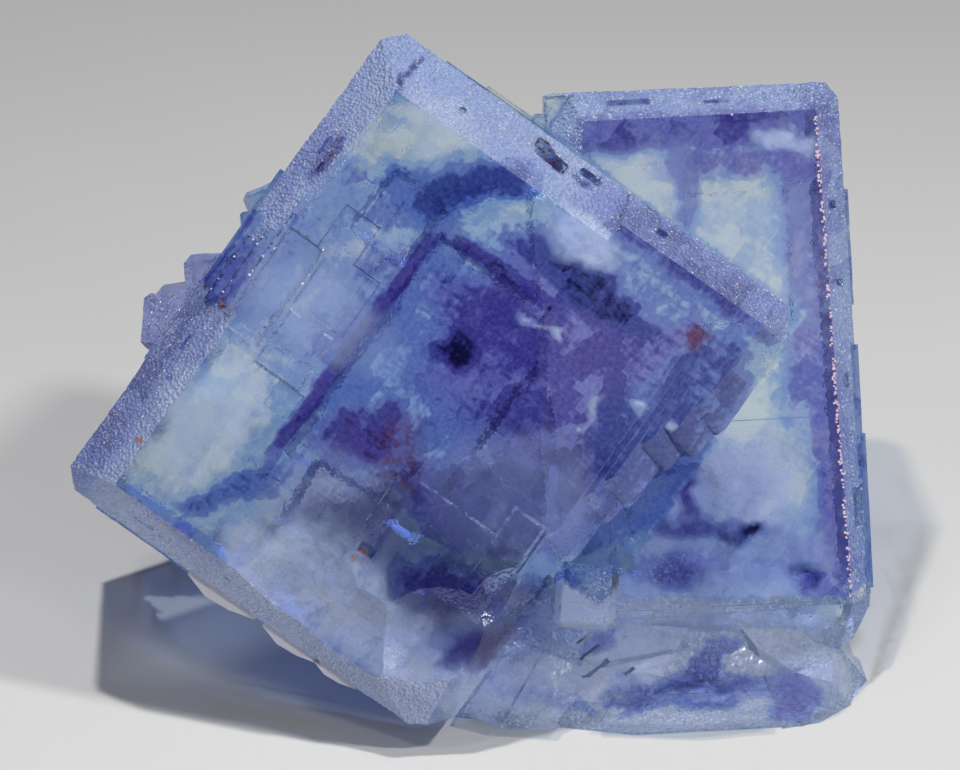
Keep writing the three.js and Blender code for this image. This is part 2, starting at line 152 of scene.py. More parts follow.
def bump(tree, height, distance, strength=1.0, below=None):
    node = add(tree, "ShaderNodeBump")
    node.inputs["Distance"].default_value = distance * MM
    if isinstance(strength, float):
        node.inputs["Strength"].default_value = strength
    else:
        wire(tree, strength, node.inputs["Strength"])
    wire(tree, height, node.inputs["Height"])
    if below is not None:
        wire(tree, below, node.inputs["Normal"])
    return node.outputs["Normal"]


def attribute(tree, name):
    node = add(tree, "ShaderNodeAttribute", attribute_name=name)
    return node.outputs["Fac"]


FLUORITE_IOR = 1.434
BODY_BLUE = (0.40, 0.60, 0.98, 1)
BODY_DENSITY = 20
PALE_LETS_THROUGH = (0.80, 0.84, 0.90, 1)
DEEP_LETS_THROUGH = (0.07, 0.10, 0.24, 1)
# What a growth zone lets through, from colourless on to nearly black, where it is blue or violet.
BLUE_ZONES = ((0.95, 1.0, 0.98), (0.58, 0.74, 0.94), (0.30, 0.40, 0.75),
              (0.14, 0.18, 0.49), (0.02, 0.02, 0.12))
VIOLET_ZONES = ((0.95, 0.96, 1.0), (0.64, 0.64, 0.91), (0.42, 0.37, 0.72),
                (0.23, 0.17, 0.52), (0.03, 0.02, 0.14))
# Where each of these colours starts and ends, on the scale of depth.
ZONE_EDGES = ((0.0, 0.07), (0.16, 0.27), (0.37, 0.50), (0.60, 0.74), (0.88, 1.0))
RUST_TINT = (0.34, 0.10, 0.16, 1)
INNER_SCATTER = 0.45  # the share of light that the deepest colour throws back
TWO_FACES = 2.0  # a ray meets a zone's colour once, and each face shows the root of its colour
TWO_FACES_SPREAD = (-0.35, 0.25)
MOTTLE_SHARE, WEAVE_SHARE, BLOCK_SHARE = 0.42, 0.30, 0.28
BLOCK_STRETCH = (0.62, 0.44, 0.3)
FLECK_SCALE = 2.1
RIPPLE_HEIGHT, FINE_RIPPLE_HEIGHT, FROST_HEIGHT = 0.02, 0.006, 0.16  # mm
MILKY_ROUGHNESS = 0.40
UNEVEN_ROUGHNESS = 0.30
MILKY_OPACITY = 0.6
# The white of the milky haze, which also paints the glints.
HAZE_AND_GLINT_WHITE = (0.60, 0.70, 1.0, 1)
FROST_WHITE = (0.38, 0.45, 0.76, 1)
BRIGHT_FROST = (0.68, 0.76, 1.0, 1)


def colour_steps(tree, value, colours):
    """Even zones of colour, one after the other, with narrow changes between them."""
    steps = [(edge, colour) for edges, colour in zip(ZONE_EDGES, colours) for edge in edges]
    ramp = add(tree, "ShaderNodeValToRGB")
    wire(tree, value, ramp.inputs["Fac"])
    stops = ramp.color_ramp.elements
    for stop in list(stops)[1:]:
        stops.remove(stop)
    first_place, first_colour = steps[0]
    stops[0].position = first_place
    stops[0].color = (*first_colour, 1)
    for position, colour in steps[1:]:
        stops.new(position).color = (*colour, 1)
    return ramp.outputs["Color"]


def clear_fluorite():
    """Glassy faces with faint ripples, frosted bevels, and blue and violet growth zones."""
    material, tree = new_material("clear_fluorite")
    mm = crystal_coordinates(tree, main_frame)
    frost = attribute(tree, "frost")
    growth = add(tree, "ShaderNodeAttribute", attribute_name="growth")
    parts = add(tree, "ShaderNodeSeparateColor")
    wire(tree, growth.outputs["Color"], parts.inputs["Color"])
    depth, violet, rust = (parts.outputs[name] for name in ("Red", "Green", "Blue"))
    haze_and_glint = growth.outputs["Alpha"]

    mottle = noise_of(tree, mm, 1.5, detail=3.5, roughness=0.58)
    weave = woven(tree, mm)
    wide = stretched(tree, mm, BLOCK_STRETCH)
    blocks = cells_of(tree, wide, 1.0, distance="CHEBYCHEV", output="Color")
    shares = ((mottle, MOTTLE_SHARE), (weave, WEAVE_SHARE), (blocks, BLOCK_SHARE))
    texture = 0.0
    for value, share in shares:
        texture = calculate(tree, "ADD", calculate(tree, "MULTIPLY", value, share), texture)
    strength = remap(tree, depth, 0.0, 0.3, 0.30, 0.85)
    swing = calculate(tree, "MULTIPLY", calculate(tree, "SUBTRACT", texture, 0.5), strength)
    ragged_depth = calculate(tree, "ADD", depth, swing, clamp=True)
    blue = colour_steps(tree, ragged_depth, BLUE_ZONES)
    purple = colour_steps(tree, ragged_depth, VIOLET_ZONES)
    colour = mix_colours(tree, violet, blue, purple)
    rusty = calculate(tree, "MULTIPLY", rust, remap(tree, mottle, 0.42, 0.58, 0.25, 0.9))
    colour = mix_colours(tree, rusty, colour, RUST_TINT)
    seen_once = add(tree, "ShaderNodeGamma")
    fine = noise_of(tree, mm, 3.4, detail=1.0, roughness=0.6)
    low, high = (TWO_FACES + spread for spread in TWO_FACES_SPREAD)
    wire(tree, remap(tree, fine, 0.3, 0.7, low, high), seen_once.inputs["Gamma"])
    wire(tree, colour, seen_once.inputs["Color"])
    colour = seen_once.outputs["Color"]
    # Whitening by haze_and_glint: milky haze, and in a few small spots painted glints that stand in
    # for light glinting off inner cracks.
    haze_and_glint_patchy = calculate(tree, "MULTIPLY", haze_and_glint, remap(tree, mottle, 0.30, 0.70, 0.60, 0.95))
    flecks = remap(tree, cells_of(tree, mm, FLECK_SCALE), 0.10, 0.05)
    flecks = calculate(tree, "MULTIPLY", flecks, remap(tree, haze_and_glint, 0.2, 0.6, 0.10, 1.0))
    haze_and_glint_patchy = calculate(tree, "MAXIMUM", haze_and_glint_patchy, flecks)
    colour = mix_colours(tree, haze_and_glint_patchy, colour, HAZE_AND_GLINT_WHITE)
    frost_patchy = broken_frost(tree, frost, mottle)
    paleness = calculate(tree, "SUBTRACT", 1.0, ragged_depth)
    frost_share = calculate(tree, "MULTIPLY", frost_patchy, paleness)
    frost_colour = mix_colours(tree, haze_and_glint, FROST_WHITE, BRIGHT_FROST)
    colour = mix_colours(tree, frost_share, colour, frost_colour)
    milky = calculate(tree, "MAXIMUM", frost_patchy, haze_and_glint_patchy)
    uneven = attribute(tree, "uneven")

    ripple = noise_of(tree, mm, 1.9, detail=1.0)
    wide_normal = bump(tree, ripple, RIPPLE_HEIGHT)
    fine_ripple = noise_of(tree, mm, 5.5, detail=0.0)
    face_normal = bump(tree, fine_ripple, FINE_RIPPLE_HEIGHT, below=wide_normal)
    cells = cells_of(tree, mm, 4.6)
    frosted_normal = bump(tree, cells, FROST_HEIGHT, strength=frost, below=face_normal)

    shader = add(tree, "ShaderNodeBsdfPrincipled")
    shader.inputs["IOR"].default_value = FLUORITE_IOR
    wire(tree, colour, shader.inputs["Base Color"])
    milky_haze = calculate(tree, "MULTIPLY", milky, MILKY_ROUGHNESS)
    uneven_haze = calculate(tree, "MULTIPLY", uneven, UNEVEN_ROUGHNESS)
    haze = calculate(tree, "MAXIMUM", milky_haze, uneven_haze)
    wire(tree, haze, shader.inputs["Roughness"])
    scattered = calculate(tree, "MULTIPLY", depth, INNER_SCATTER)
    milky_body = calculate(tree, "MULTIPLY", milky, MILKY_OPACITY)
    opaque = calculate(tree, "MAXIMUM", milky_body, scattered)
    wire(tree, calculate(tree, "SUBTRACT", 1.0, opaque), shader.inputs["Transmission Weight"])
    wire(tree, frosted_normal, shader.inputs["Normal"])

    absorption = add(tree, "ShaderNodeVolumeAbsorption")
    absorption.inputs["Color"].default_value = BODY_BLUE
    absorption.inputs["Density"].default_value = BODY_DENSITY

    output = add(tree, "ShaderNodeOutputMaterial")
    surface = lamps_pass(tree, shader.outputs["BSDF"], attribute(tree, "shade"))
    wire(tree, surface, output.inputs["Surface"])
    wire(tree, absorption.outputs["Volume"], output.inputs["Volume"])
    return material


def stretched(tree, vector, scales):
    node = add(tree, "ShaderNodeVectorMath", operation="MULTIPLY")
    wire(tree, vector, node.inputs[0])
    node.inputs[1].default_value = scales
    return node.outputs["Vector"]


def woven(tree, mm):
    """Streaks along both edges of the crystal, the stronger of the two at each place."""
    along = noise_of(tree, stretched(tree, mm, (0.22, 2.4, 0.3)), 1.0, detail=2.0)
    up = noise_of(tree, stretched(tree, mm, (2.4, 0.22, 0.3)), 1.0, detail=2.0)
    return calculate(tree, "MAXIMUM", along, up)


def broken_frost(tree, frost, mottle):
    """Full frost covers a face evenly, thinner frost only the places that the mottle picks."""
    picked = remap(tree, mottle, 0.42, 0.56)
    base = calculate(tree, "POWER", frost, 3.0)
    rest = calculate(tree, "MULTIPLY", calculate(tree, "SUBTRACT", 1.0, base), picked)
    return calculate(tree, "MULTIPLY", frost, calculate(tree, "ADD", base, rest))


def lamps_pass(tree, surface, shade):
    """Lets the lamps shine straight through a clear surface, dimmed more where it is deep blue."""
    path = add(tree, "ShaderNodeLightPath")
    clear = add(tree, "ShaderNodeBsdfTransparent")
    dimmed = mix_colours(tree, shade, PALE_LETS_THROUGH, DEEP_LETS_THROUGH)
    wire(tree, dimmed, clear.inputs["Color"])
    either = add(tree, "ShaderNodeMixShader")
    wire(tree, path.outputs["Is Shadow Ray"], either.inputs[0])
    wire(tree, surface, either.inputs[1])
    wire(tree, clear.outputs["BSDF"], either.inputs[2])
    return either.outputs["Shader"]


def plain_crystal(name, colour, roughness, transmission):
    """One even colour, for the grains and splinters."""
    material, tree = new_material(name)
    shader = add(tree, "ShaderNodeBsdfPrincipled")
    shader.inputs["Base Color"].default_value = colour
    shader.inputs["Roughness"].default_value = roughness
    shader.inputs["IOR"].default_value = FLUORITE_IOR
    shader.inputs["Transmission Weight"].default_value = transmission
    output = add(tree, "ShaderNodeOutputMaterial")
    wire(tree, shader.outputs["BSDF"], output.inputs["Surface"])
    return material


# The table darkens from its near part to its far part behind the specimen: painted shade, for light
# falling off away from the lamps.
NEAR_TABLE = ((0.72, 0.72, 0.72, 1), (0.76, 0.76, 0.755, 1))
FAR_TABLE_PAINTED_SHADE = (0.53, 0.53, 0.535, 1)
TABLE_FADES_BY = 0.11  # m behind the specimen
CLOUD_SCALE = 40.0


def table_material():
    material, tree = new_material("pale_table")
    coordinates = add(tree, "ShaderNodeTexCoord")
    shader = add(tree, "ShaderNodeBsdfPrincipled")
    cloud = noise_of(tree, coordinates.outputs["Object"], CLOUD_SCALE, detail=3.0)
    near = mix_colours(tree, cloud, *NEAR_TABLE)
    split = add(tree, "ShaderNodeSeparateXYZ")
    wire(tree, coordinates.outputs["Object"], split.inputs["Vector"])
    # Painted shade: the table's colour darkens towards the back.
    painted_shade_share = remap(tree, split.outputs["Y"], 0.0, TABLE_FADES_BY)
    colour = mix_colours(tree, painted_shade_share, near, FAR_TABLE_PAINTED_SHADE)
    wire(tree, colour, shader.inputs["Base Color"])
    shader.inputs["Roughness"].default_value = 0.7
    output = add(tree, "ShaderNodeOutputMaterial")
    wire(tree, shader.outputs["BSDF"], output.inputs["Surface"])
    return material


# Growth zones: patches of colour, in millimetres across and up from the middle of the main face.
# depth runs from 0, colourless, to 1, nearly black; violet and rust turn its hue, and haze_and_glint
# whitens
# it: milky haze, and in a few small spots painted glints. Each patch covers what the ones before it
# left there, as far as it names a value.
BLUE, ROYAL, INDIGO, NIGHT = 0.45, 0.60, 0.75, 0.95


def patch(at, half, turn=0, depth=None, violet=None, rust=None, haze_and_glint=None, soft=0.4, square=False):
    values = {"depth": depth, "violet": violet, "rust": rust, "haze_and_glint": haze_and_glint}
    return {"at": at, "half": half, "turn": turn, "soft": soft, "square": square,
            "values": {k: v for k, v in values.items() if v is not None}}


MAIN_PATCHES = [
    patch((-11.2, 6.2), (4.6, 5.4), -36, depth=0.17, violet=0.5, soft=0.5, square=True),
    patch((-6.4, 2.6), (3.8, 7.0), -36, depth=0.36, soft=0.5),
    patch((5.2, 0.4), (10.4, 9.0), -14, depth=BLUE, violet=0.25, soft=0.4),
    patch((4.0, 1.4), (5.6, 5.4), -35, depth=0.54, violet=0.75, soft=0.35, square=True),
    patch((9.8, -5.4), (3.8, 6.6), -38, depth=0.62, violet=0.1, soft=0.45),
    patch((13.6, 0.2), (1.6, 3.6), -38, depth=0.66, soft=0.4),
    patch((14.6, 0.6), (1.8, 3.2), -20, depth=ROYAL, soft=0.4),
    patch((-3.0, -13.4), (5.6, 2.6), -4, depth=0.54, violet=0.35, haze_and_glint=0.1, soft=0.35),
    patch((1.6, -14.4), (4.4, 1.8), 20, depth=INDIGO, soft=0.35),
    patch((-4.2, 12.0), (7.6, 1.9), 10, depth=0.46, soft=0.35),
    patch((-0.4, 12.3), (4.2, 1.1), 8, depth=0.66, soft=0.45),
    patch((-8.9, 11.6), (2.6, 2.2), 30, depth=0.24, violet=0.3, soft=0.45),
    patch((-7.4, -3.4), (3.0, 1.6), 8, depth=0.68, violet=0.8, rust=0.15, soft=0.6),
    patch((-1.1, 2.5), (1.3, 1.2), depth=NIGHT, soft=0.5),
    patch((1.4, 3.6), (4.4, 2.0), -30, depth=0.66, violet=0.8, soft=0.5),
    patch((-14.8, -6.4), (4.4, 0.9), 22, depth=0.5, soft=0.35),
    patch((-5.2, -5.0), (1.2, 2.6), -12, rust=0.7, soft=0.6),
    patch((3.0, -4.0), (1.6, 1.0), rust=0.4, soft=0.7),
    patch((-2.6, -7.0), (3.2, 2.0), -30, depth=ROYAL, violet=0.6, soft=0.45),
    patch((1.8, -7.2), (4.8, 3.6), depth=0.38, violet=0.7, haze_and_glint=0.35, soft=0.4),
    patch((5.0, -5.2), (2.6, 2.0), -30, depth=0.52, violet=0.6, rust=0.25, soft=0.6),
    patch((-8.6, -7.8), (4.2, 2.8), -34, depth=0.34, violet=0.6, haze_and_glint=0.35, soft=0.5),
    patch((0.8, -6.3), (0.5, 0.4), depth=0.8, violet=0.4, soft=0.6),
    patch((1.6, -8.8), (0.5, 0.4), depth=0.75, violet=0.4, soft=0.6),
    patch((1.2, -10.2), (0.4, 0.3), depth=0.7, violet=0.4, soft=0.6),
    patch((6.6, 6.0), (5.4, 1.1), -36, depth=INDIGO, violet=0.2, soft=0.5),
    patch((0.8, -16.8), (2.2, 1.0), 26, depth=0.85, violet=0.7, soft=0.4),
    patch((13.4, 3.0), (1.0, 0.6), rust=0.8, depth=0.6, soft=0.5),
    patch((11.4, 2.4), (2.8, 0.8), 38, depth=0.55, violet=0.7, soft=0.4),
    patch((-7.9, 2.5), (0.45, 8.2), -36.4, depth=INDIGO, violet=0.8, soft=0.3, square=True),
    patch((1.7, 6.8), (4.0, 0.42), -33.7, depth=INDIGO, violet=0.7, soft=0.3, square=True),
    patch((-10.1, 14.6), (0.9, 1.8), -35, depth=0.8, violet=0.8, soft=0.3),
    patch((-15.5, 6.8), (1.0, 2.4), -36, depth=0.28, violet=0.9, soft=0.3, square=True),
    patch((4.5, 14.1), (1.0, 0.55), -40, depth=0.95, rust=0.5, soft=0.4),
    patch((6.8, 13.0), (0.7, 0.35), -35, depth=0.8, soft=0.4),
    patch((-17.4, -10.9), (7.5, 0.5), -37, depth=0.38, violet=0.9, soft=0.5),
    patch((-17.4, 2.5), (0.4, 2.6), -36, depth=0.45, violet=0.3, soft=0.4),
    patch((-22.0, -2.6), (1.4, 3.0), -40, depth=0.25, violet=0.9, soft=0.5),
    patch((-17.6, 6.4), (1.5, 17.0), -36, depth=0.36, violet=0.35, soft=0.3, square=True),
    patch((-21.4, 0.4), (1.5, 8.0), -36, depth=0.62, violet=0.35, soft=0.5, square=True),
    patch((-2.8, 15.8), (2.6, 2.2), -35, depth=0.03, haze_and_glint=0.35, soft=0.4),
    patch((-16.6, -2.5), (2.4, 4.4), -36, depth=0.06, haze_and_glint=0.45, soft=0.4),
    patch((13.0, 7.8), (7.0, 1.5), -35, depth=0.6, violet=0.4, soft=0.4, square=True),
    patch((-4.5, 19.5), (0.25, 1.4), -27, depth=0.8, soft=0.4),
    patch((-10.6, -12.4), (5.4, 3.4), -30, depth=0.12, violet=0.4, haze_and_glint=0.95, soft=0.5),
    patch((-5.0, -16.4), (7.0, 2.6), -36, depth=0.12, violet=0.4, haze_and_glint=0.95, soft=0.4),
    patch((1.2, -15.6), (4.0, 3.0), depth=0.46, haze_and_glint=0.45, soft=0.5),
    patch((2.0, -19.0), (3.8, 3.0), 20, depth=0.05, haze_and_glint=1.0, soft=0.4),
    patch((-15.8, 4.9), (0.3, 0.22), -36, rust=1.0, depth=0.3, soft=0.5),
    patch((-7.2, -11.0), (0.7, 0.4), 40, rust=0.8, depth=0.3, soft=0.6),
    # Painted glints: small white patches that stand in for light glinting off cracks inside the
    # crystal.
    patch((3.1, 4.0), (0.7, 0.25), -30, depth=0.25, haze_and_glint=0.8, soft=0.7),
    patch((4.2, 3.1), (0.4, 0.2), -50, depth=0.3, haze_and_glint=0.7, soft=0.7),
    patch((7.1, -1.5), (0.22, 0.7), -32, depth=0.3, haze_and_glint=0.7, rust=0.15, soft=0.7),
    patch((6.4, -2.8), (0.2, 0.35), -32, depth=0.3, haze_and_glint=0.7, soft=0.7),
    patch((0.6, -12.4), (0.3, 0.4), depth=0.06, haze_and_glint=1.0, soft=0.6),
    patch((10.2, -1.1), (0.45, 0.25), 20, depth=0.2, haze_and_glint=0.8, soft=0.6),
    patch((12.1, -2.8), (0.3, 0.4), -20, depth=0.2, haze_and_glint=0.8, soft=0.5),
    patch((-6.5, 9.3), (0.3, 0.4), depth=0.06, haze_and_glint=1.0, soft=0.6),
    patch((-16.6, -1.2), (2.6, 2.6), haze_and_glint=0.5, soft=0.5),
    patch((-13.2, -15.4), (14.0, 1.5), -36.5, haze_and_glint=0.9, soft=0.3, square=True),
    patch((-14.2, -11.0), (1.8, 2.0), 20, haze_and_glint=0.9, soft=0.5),
    patch((-9.6, 4.4), (4.6, 2.4), -34, haze_and_glint=0.5, soft=0.4),
    patch((6.4, 9.0), (2.4, 1.2), -30, haze_and_glint=0.9, soft=0.4),
    patch((-1.8, -12.8), (3.4, 1.3), -14, depth=0.62, violet=0.4, haze_and_glint=0.0, soft=0.5),
    patch((-0.4, -16.4), (2.2, 0.9), 24, depth=0.72, violet=0.9, haze_and_glint=0.0, soft=0.5),
]
SECOND_PATCHES = [
    patch((10.3, 12.6), (3.0, 2.4), 3, depth=0.04, haze_and_glint=0.4, soft=0.3, square=True),
    patch((17.1, 8.1), (4.2, 4.6), 3, depth=0.08, haze_and_glint=0.4, soft=0.3, square=True),
    patch((14.2, 18.3), (9.0, 1.2), 2, depth=0.26, violet=0.5, soft=0.3, square=True),
    patch((23.3, 1.9), (1.2, 17.2), 4, depth=0.30, violet=0.4, soft=0.3, square=True),
    patch((13.6, 16.2), (7.6, 1.2), 2, depth=0.50, violet=0.75, soft=0.35, square=True),
    patch((17.4, 14.2), (5.4, 0.9), 2, depth=0.34, violet=0.75, soft=0.5, square=True),
    patch((20.9, 7.0), (1.5, 8.8), 2, depth=0.42, violet=0.85, soft=0.6, square=True),
    patch((13.2, 12.4), (0.8, 3.4), 8, depth=0.42, violet=0.6, soft=0.4),
    patch((12.4, -12.4), (5.0, 2.0), depth=BLUE, violet=0.3, soft=0.4),
    patch((20.4, -12.0), (2.2, 2.4), depth=BLUE, violet=0.3, soft=0.4),
    patch((22.3, -8.0), (0.8, 6.8), 2, depth=0.42, violet=0.85, soft=0.7, square=True),
    patch((13.6, -7.6), (5.6, 5.0), depth=0.28, violet=0.5, haze_and_glint=0.7, soft=0.4),
    patch((20.0, -11.2), (2.4, 3.0), depth=0.3, haze_and_glint=0.6, soft=0.4),
    patch((6.4, -13.4), (2.8, 2.8), depth=0.04, violet=0.9, haze_and_glint=1.0, soft=0.3),
    patch((14.0, -13.6), (7.0, 1.6), depth=0.2, violet=0.3, haze_and_glint=0.7, soft=0.4),
    patch((17.8, -6.4), (2.6, 3.4), haze_and_glint=1.0, soft=0.5),
    patch((19.6, 15.6), (2.2, 0.7), haze_and_glint=1.0, soft=0.4),
    patch((14.6, -11.4), (3.6, 1.6), haze_and_glint=0.6, soft=0.5),
    patch((13.4, -6.2), (0.55, 2.9), depth=0.72, violet=0.95, haze_and_glint=0.0, soft=0.6),
    patch((14.0, -9.2), (4.2, 0.6), -4, depth=0.62, violet=0.5, haze_and_glint=0.1, soft=0.6),
    patch((17.4, -9.2), (1.1, 0.45), 24, depth=0.85, violet=0.2, haze_and_glint=0.0, soft=0.5),
    patch((12.6, -11.8), (1.6, 1.1), depth=0.60, violet=0.5, haze_and_glint=0.1, soft=0.6),
    patch((21.0, -12.4), (1.0, 0.8), depth=0.70, violet=0.3, haze_and_glint=0.0, soft=0.5),
    patch((17.9, -8.0), (0.8, 0.5), depth=0.0, haze_and_glint=1.0, soft=0.6),
]
MASS_PATCHES = [
    patch((10.0, -17.8), (14.0, 4.6), depth=0.0, violet=0.6, haze_and_glint=0.40, soft=0.3),
    patch((13.4, -19.2), (5.2, 1.3), 4, depth=0.30, haze_and_glint=0.15, soft=0.4),
    patch((13.1, -19.0), (4.8, 0.30), 6, depth=0.66, violet=0.1, soft=0.3),
    patch((12.2, -20.2), (5.2, 0.25), 4, depth=0.5, violet=0.1, soft=0.3),
    patch((14.6, -17.4), (2.0, 0.55), 38, depth=0.65, violet=0.4, soft=0.4),
    patch((3.7, -19.6), (3.0, 0.5), -15, depth=0.4, violet=0.5, soft=0.5),
    patch((7.5, -16.6), (1.6, 0.3), 40, depth=0.5, soft=0.4),
    patch((19.9, -19.9), (1.6, 1.5), depth=0.42, violet=0.9, haze_and_glint=0.3, soft=0.4),
    patch((8.4, -17.6), (3.4, 1.6), 20, haze_and_glint=0.7, soft=0.5),
    patch((2.0, -19.0), (4.4, 1.6), haze_and_glint=0.9, soft=0.5),
]
LEFT_CRYSTALS = [
    patch((-19.5, 3.5), (8.0, 6.0), depth=0.2, violet=1.0, haze_and_glint=0.3, soft=0.2),
]
COLOUR_FADE = 9.0  # mm behind a face, over which its patches lose half their strength
WANDER = 0.8  # mm that a patch's edge strays
NOISE_SEED = 7  # without it the straying would differ from run to run
SQUARE_WANDER = 0.35  # of that, for squarish patches
BASE_DEPTH, SIDE_BASE_DEPTH = 0.12, 0.03
BASE_SWING = 0.18
MAIN_SHADE, SIDE_SHADE = 0.92, 0.10
# The main crystal's reach in its own frame in mm. Low on its right the small clear cube starts.
MAIN_RIGHT, MAIN_RIGHT_OF_CUBE, CUBE_TOP = 17.0, 13.8, -5
MAIN_LOW, MAIN_HIGH, MAIN_BACK = -18.6, 17.8, -19.9
LOWER_MASS_TOP = 6.5
LEFT_START = (-16, -15.7)  # in the part's frame, and in the main crystal's
GROUP_FRONTS = (0.0, -7.5, -8.0, -14.0)  # how far behind the main face each group's front lies
FIELDS = ("depth", "violet", "rust", "haze_and_glint")


def patch_cover(x, y, spot):
    """1 inside an oval or squarish patch, 0 outside it, for arrays of places."""
    turn = math.radians(spot["turn"])
    dx, dy = x - spot["at"][0], y - spot["at"][1]
    along = (dx * math.cos(turn) + dy * math.sin(turn)) / spot["half"][0]
    across = (dy * math.cos(turn) - dx * math.sin(turn)) / spot["half"][1]
    if spot["square"]:
        reach = np.maximum(abs(along), abs(across))
    else:
        reach = np.hypot(along, across)
    share = np.clip((1 + spot["soft"] - reach) / (2 * spot["soft"]), 0, 1)
    return share * share * (3 - 2 * share)


def growth_fields(points):
    """How deep, violet, rusty and whitened the colour is at each point of the cluster's skin; the
    whitening is milky haze, and in a few spots painted glints.
    """
    noise.seed_set(NOISE_SEED)
    in_face = [face_frame_inverse @ p / MM for p in points]
    wander = np.array([noise.turbulence_vector(p * 0.5, 4, False) for p in in_face]) * WANDER
    place = np.array(in_face)
    x, y = place[:, 0], place[:, 1]
    local = np.array([main_inverse @ p / MM for p in points])
    u, v, w = local.T
    right_side = np.where(v < CUBE_TOP, MAIN_RIGHT_OF_CUBE, MAIN_RIGHT)
    on_main = (u < right_side) & (v > MAIN_LOW) & (v < MAIN_HIGH) & (w > MAIN_BACK)
    fields = {name: np.zeros(len(points)) for name in FIELDS}
    slow = np.array([noise.noise(p * 0.16 + Vector((3, 8, 1))) for p in in_face])
    fields["depth"] += np.where(on_main, BASE_DEPTH, SIDE_BASE_DEPTH) + BASE_SWING * slow
    world = np.array([list(p) for p in points]) / MM
    low = (world[:, 2] < LOWER_MASS_TOP) & (world[:, 1] < 0) & ~(on_main & (w > -6))
    left = (world[:, 0] < LEFT_START[0]) & (u < LEFT_START[1])
    on_main &= ~low & ~left
    groups = ((MAIN_PATCHES, on_main), (SECOND_PATCHES, ~(on_main | low | left)),
              (MASS_PATCHES, low), (LEFT_CRYSTALS, left))
    for (patches, mine), front in zip(groups, GROUP_FRONTS):
        behind = np.clip(front - place[:, 2], 0, None)
        strength = mine * 0.5 ** (behind / COLOUR_FADE)
        for spot in patches:
            stray = SQUARE_WANDER if spot["square"] else 1.0
            strayed = (x + stray * wander[:, 0], y + stray * wander[:, 1])
            cover = patch_cover(*strayed, spot) * strength
            for name, value in spot["values"].items():
                fields[name] += (value - fields[name]) * cover
    shade = np.where(on_main, MAIN_SHADE, SIDE_SHADE) + 0.1 * fields["depth"]
    return np.column_stack([fields[name] for name in FIELDS]), shade


# Clear cluster
WELD = 1e-6
WAVE_HEIGHT, FROST_GRAIN, STEP_HEIGHT, BULGE_HEIGHT = 0.03, 0.08, 0.03, 0.16  # mm
FLAT_ENOUGH = math.radians(0.3)
SHARP_ANGLE = math.radians(22)
GLASSY = {"frost": 0.0, "uneven": 0.0, "spacing": 0.27}
FROSTED = {"frost": 1.0, "uneven": 0.0, "spacing": 0.24}
SECOND_BEVEL = {"frost": 0.76, "uneven": 0.0, "spacing": 0.26}
EDGE_FACET = {"frost": 0.10, "uneven": 0.0, "spacing": 0.36}
CHIPPED = {"frost": 0.05, "uneven": 0.35, "spacing": 0.30}
LEDGE = {"frost": 0.62, "uneven": 0.0, "spacing": 0.24}
CLEAVED = {"frost": 0.12, "uneven": 0.15, "spacing": 0.32}
MILKY = {"frost": 0.65, "uneven": 0.3, "spacing": 0.32}
GROWN = {"frost": 0.10, "uneven": 1.0, "spacing": 0.52}
SAWN = {"frost": 0.75, "uneven": 0.0, "spacing": 0.9}


def within(value, low, high, margin=0.0):
    return low - margin < value < high + margin


def finish_of(face):
    """Which finish a face of the solid has, by where it lies on the crystals."""
    centre = face.calc_center_median()
    if centre.z < 0.05 * MM:
        return SAWN
    u, v, w = main_inverse @ centre / MM
    lean = (main_turn @ face.normal).z
    inside = within(u, MAIN_OUTLINE["left"], MAIN_OUTLINE["right"], 0.5)
    inside = inside and within(v, MAIN_OUTLINE["bottom"], MAIN_OUTLINE["top"], 0.5)
    if inside and w > -BEVEL_DEPTH:
        if lean > 0.995:
            return GLASSY
        if u > MAIN_FACE["right"] - 0.3 and v < MAIN_FACE["top"]:
            return EDGE_FACET
        if v < -10 and within(u, -6, 12) and face.calc_area() < 1.2 * MM * MM:
            return CHIPPED
        small = face.calc_area() < 9 * MM * MM
        return LEDGE if w > -0.55 and lean > 0.4 and small else FROSTED
    u, v, w = second_inverse @ centre / MM
    lean = (second_turn @ face.normal).z
    if within(u, -11.5, 10) and within(v, -20.5, 17.2) and w > -SECOND_BEVEL_DEPTH:
        if v < -15 or not within(lean, 0.1, 0.97) or w > -0.35:
            return GLASSY
        return SECOND_BEVEL
    if centre.x < -18 * MM and centre.y < 4 * MM:
        return MILKY
    if centre.z < 6 * MM and centre.y < 0:
        on_corner = centre.x > 15.5 * MM and centre.z > 2.6 * MM
        return FROSTED if on_corner and face.normal.z > 0.8 else CLEAVED
    return GROWN


def divided(edge, corners, spacing):
    """The numbers of the points along an edge, its two ends among them."""
    first, last = edge.verts
    pieces = max(1, round(edge.calc_length() / MM / spacing))
    inner = []
    for i in range(1, pieces):
        corners.append(first.co.lerp(last.co, i / pieces))
        inner.append(len(corners) - 1)
    return [first.index, *inner, last.index]


